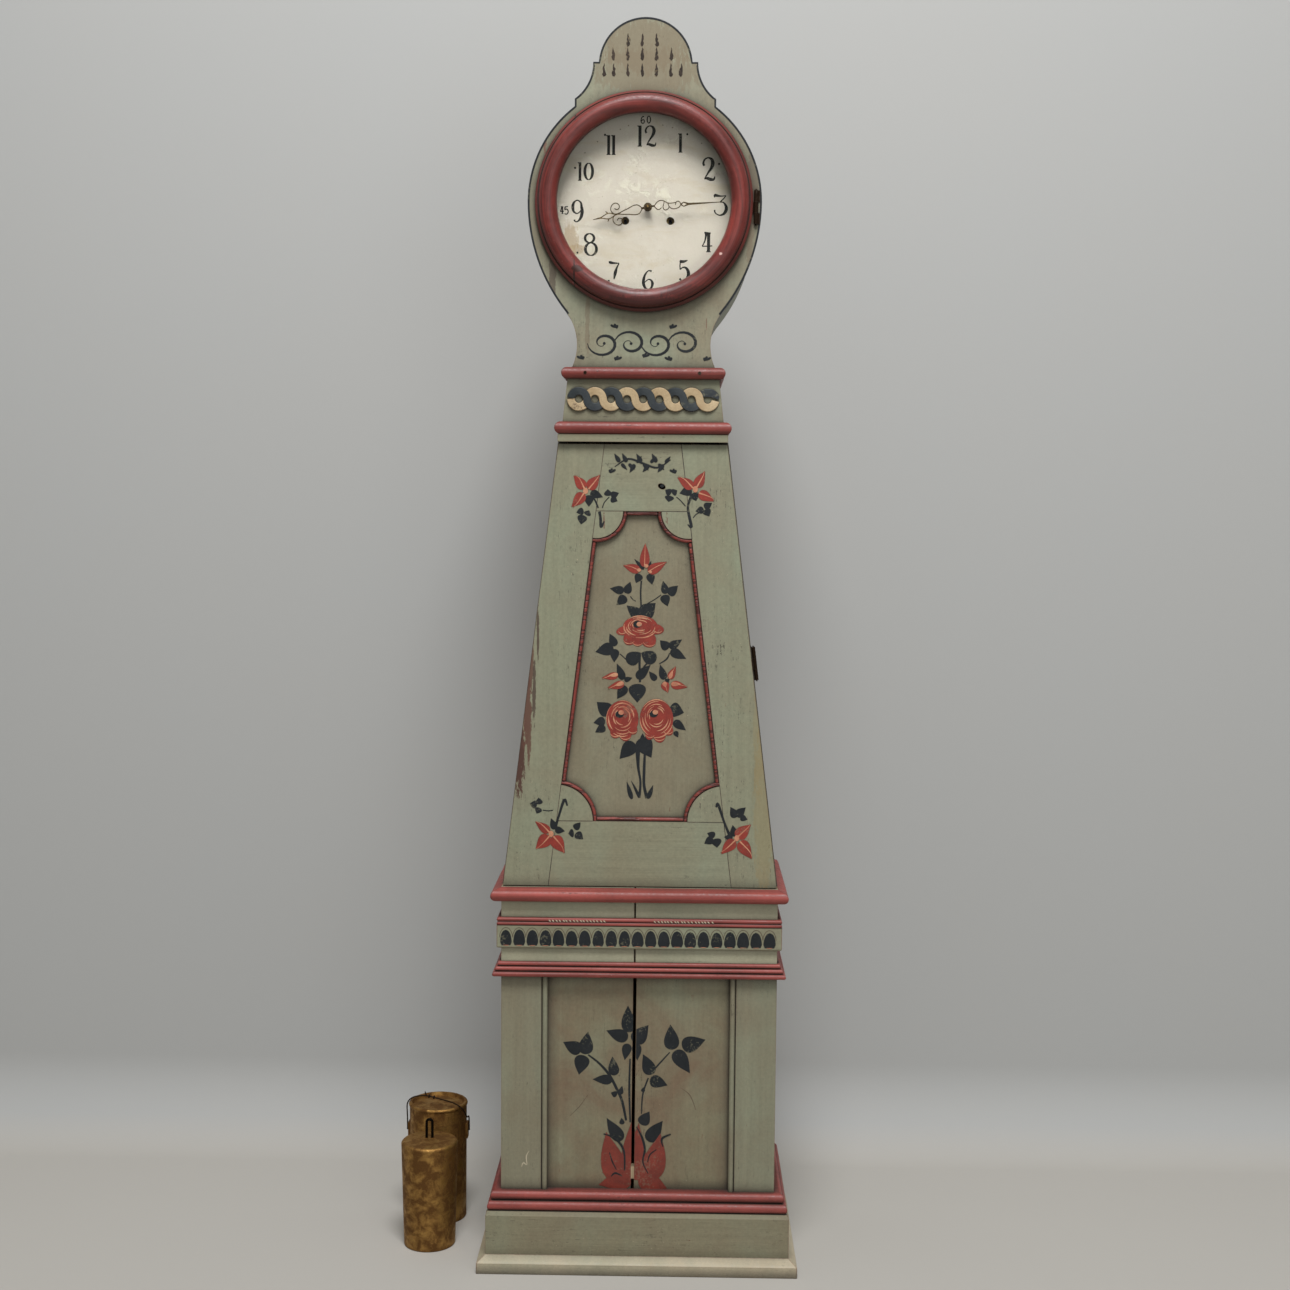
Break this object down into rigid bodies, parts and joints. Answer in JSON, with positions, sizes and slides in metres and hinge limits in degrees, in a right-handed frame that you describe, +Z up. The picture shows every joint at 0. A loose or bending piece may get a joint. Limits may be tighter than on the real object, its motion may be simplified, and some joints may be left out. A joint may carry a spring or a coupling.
{
  "type": "mora clock",
  "caption": "Painted pine long-case clock with a waisted trunk, folk flowers, round glazed head, full movement, pendulum and two weights standing beside it",
  "frame": {"origin": "On the floor at the middle of the case, in the plane of the base pilasters' faces", "axes": "X to the right as the clock is faced, Y into the clock with the dial facing -Y, Z up"},
  "size_m": [0.6954, 0.3133, 2.08],
  "materials": {
    "green_paint": "satin",
    "red_paint": "satin",
    "carved_paint": "satin",
    "bare_pine": "matt",
    "dial_paint": "matt",
    "brass": "worn",
    "bell_bronze": "satin",
    "steel": "satin",
    "iron": "rough",
    "ash_rod": "satin",
    "gut": "matt",
    "glass": "gloss",
    "weight_brass": "worn"
  },
  "bodies": {
    "case": {"base_front_left": "green_paint", "base_front_right": "green_paint", "base_crack_plug": "bare_pine", "base_sides": "green_paint", "base_pilasters": "green_paint", "plinth_boards": "green_paint", "skirting": "green_paint", "plinth_moulding": "red_paint", "base_moulding": "red_paint", "waist_facings": "green_paint", "lunette_frieze": "green_paint", "reeded_band": "red_paint", "waist_cornice": "red_paint", "trunk_sides": "green_paint", "backboard": "bare_pine", "seat_posts": "bare_pine", "seat_board": "bare_pine", "trunk_hinge_fixed": "iron", "movement_frame": "brass", "dial": "dial_paint", "bell": "bell_bronze"},
    "trunk_door": {"door_stiles": "green_paint", "door_top_rail": "green_paint", "door_foot_rail": "green_paint", "door_panel": "green_paint", "door_brackets": "green_paint", "door_beads": "red_paint", "trunk_hinge_moving": "iron"},
    "hood": {"head_board": "green_paint", "head_shell": "green_paint", "upper_roll": "red_paint", "collar_boards": "green_paint", "guilloche": "carved_paint", "lower_roll": "red_paint", "bezel_hinge_fixed": "iron"},
    "bezel_door": {"bezel_ring": "red_paint", "bezel_glass": "glass", "bezel_hinge_moving": "iron"},
    "going_barrel": {"great_wheel": "brass"},
    "centre_arbor": {"centre_wheel": "brass", "minute_hand": "brass"},
    "third_arbor": {"third_wheel": "brass"},
    "escape_arbor": {"escape_wheel": "brass"},
    "anchor_arbor": {"anchor": "steel"},
    "minute_arbor": {"minute_wheel": "brass"},
    "hour_pipe": {"hour_wheel": "brass", "hour_hand": "brass"},
    "strike_barrel": {"strike_great_wheel": "brass"},
    "pin_arbor": {"pin_wheel": "brass"},
    "fly_arbor": {"fly": "brass"},
    "hammer_arbor": {"hammer": "steel"},
    "pendulum": {"pendulum_rod": "ash_rod", "pendulum_bob": "brass"},
    "strike_fall": {"strike_line": "gut", "strike_hook": "iron"},
    "going_fall": {"going_line": "gut", "going_hook": "iron"},
    "loose_front_weight": {"front_weight": "weight_brass"},
    "loose_rear_weight": {"rear_weight": "weight_brass", "weight_wire": "iron"}
  },
  "joints": [
    {"name": "trunk_door_hinge", "type": "hinge", "parent": "case", "child": "trunk_door", "pos_m": [0.18959, 0.024, 1.032], "axis": [-0.1215, 0, 0.9926], "range_deg": [0, 110]},
    {"name": "hood_slide", "type": "slide", "parent": "case", "child": "hood", "axis": [0, -1, 0], "range_m": [0, 0.28]},
    {"name": "bezel_hinge", "type": "hinge", "parent": "hood", "child": "bezel_door", "pos_m": [0.181, 0, 1.778], "axis": [0, 0, 1], "range_deg": [0, 110]},
    {"name": "centre_turn", "type": "hinge", "parent": "case", "child": "centre_arbor", "pos_m": [0.005, 0.07, 1.78], "axis": [0, 1, 0], "continuous": true},
    {"name": "going_barrel_turn", "type": "hinge", "parent": "case", "child": "going_barrel", "pos_m": [0.04199, 0.07, 1.75899], "axis": [0, 1, 0], "continuous": true},
    {"name": "third_turn", "type": "hinge", "parent": "case", "child": "third_arbor", "pos_m": [0.01116, 0.07, 1.80299], "axis": [0, 1, 0], "continuous": true},
    {"name": "escape_turn", "type": "hinge", "parent": "case", "child": "escape_arbor", "pos_m": [0.005, 0.07, 1.82252], "axis": [0, 1, 0], "continuous": true},
    {"name": "minute_turn", "type": "hinge", "parent": "case", "child": "minute_arbor", "pos_m": [0.005, 0.07, 1.7656], "axis": [0, 1, 0], "continuous": true},
    {"name": "hour_turn", "type": "hinge", "parent": "case", "child": "hour_pipe", "pos_m": [0.005, 0.07, 1.78], "axis": [0, 1, 0], "continuous": true},
    {"name": "pin_turn", "type": "hinge", "parent": "case", "child": "pin_arbor", "pos_m": [-0.03767, 0.07, 1.79121], "axis": [0, 1, 0], "continuous": true},
    {"name": "strike_barrel_turn", "type": "hinge", "parent": "case", "child": "strike_barrel", "pos_m": [-0.03198, 0.07, 1.75899], "axis": [0, 1, 0], "continuous": true},
    {"name": "fly_turn", "type": "hinge", "parent": "case", "child": "fly_arbor", "pos_m": [-0.03202, 0.07, 1.80672], "axis": [0, 1, 0], "continuous": true},
    {"name": "hammer_lift", "type": "hinge", "parent": "case", "child": "hammer_arbor", "pos_m": [-0.055, 0.07, 1.83], "axis": [0, -1, 0], "range_deg": [0, 12]},
    {"name": "pendulum_swing", "type": "hinge", "parent": "case", "child": "pendulum", "pos_m": [0.005, 0.15, 1.84726], "axis": [0, 1, 0], "range_deg": [-3, 3]},
    {"name": "anchor_rock", "type": "hinge", "parent": "case", "child": "anchor_arbor", "pos_m": [0.005, 0.07, 1.84726], "axis": [0, 1, 0], "range_deg": [-3, 3]},
    {"name": "strike_line_travel", "type": "slide", "parent": "case", "child": "strike_fall", "axis": [0, 0, 1], "range_m": [0, 0.66], "deforming": ["strike_line"]},
    {"name": "going_line_travel", "type": "slide", "parent": "case", "child": "going_fall", "axis": [0, 0, 1], "range_m": [0, 0.66], "deforming": ["going_line"]},
    {"name": "front_weight_lift", "type": "slide", "parent": "case", "child": "loose_front_weight", "axis": [0, 0, 1], "range_m": [0, 0.3]},
    {"name": "rear_weight_lift", "type": "slide", "parent": "case", "child": "loose_rear_weight", "axis": [0, 0, 1], "range_m": [0, 0.3]}
  ],
  "couplings": [
    {"joint": "going_barrel_turn", "follows": "centre_turn", "ratio": -0.083333},
    {"joint": "third_turn", "follows": "centre_turn", "ratio": -7.5},
    {"joint": "escape_turn", "follows": "centre_turn", "ratio": 60},
    {"joint": "minute_turn", "follows": "centre_turn", "ratio": -0.33333},
    {"joint": "hour_turn", "follows": "centre_turn", "ratio": 0.083333},
    {"joint": "strike_barrel_turn", "follows": "pin_turn", "ratio": -0.11111},
    {"joint": "fly_turn", "follows": "pin_turn", "ratio": -6.8571},
    {"joint": "anchor_rock", "follows": "pendulum_swing", "ratio": 1}
  ]
}
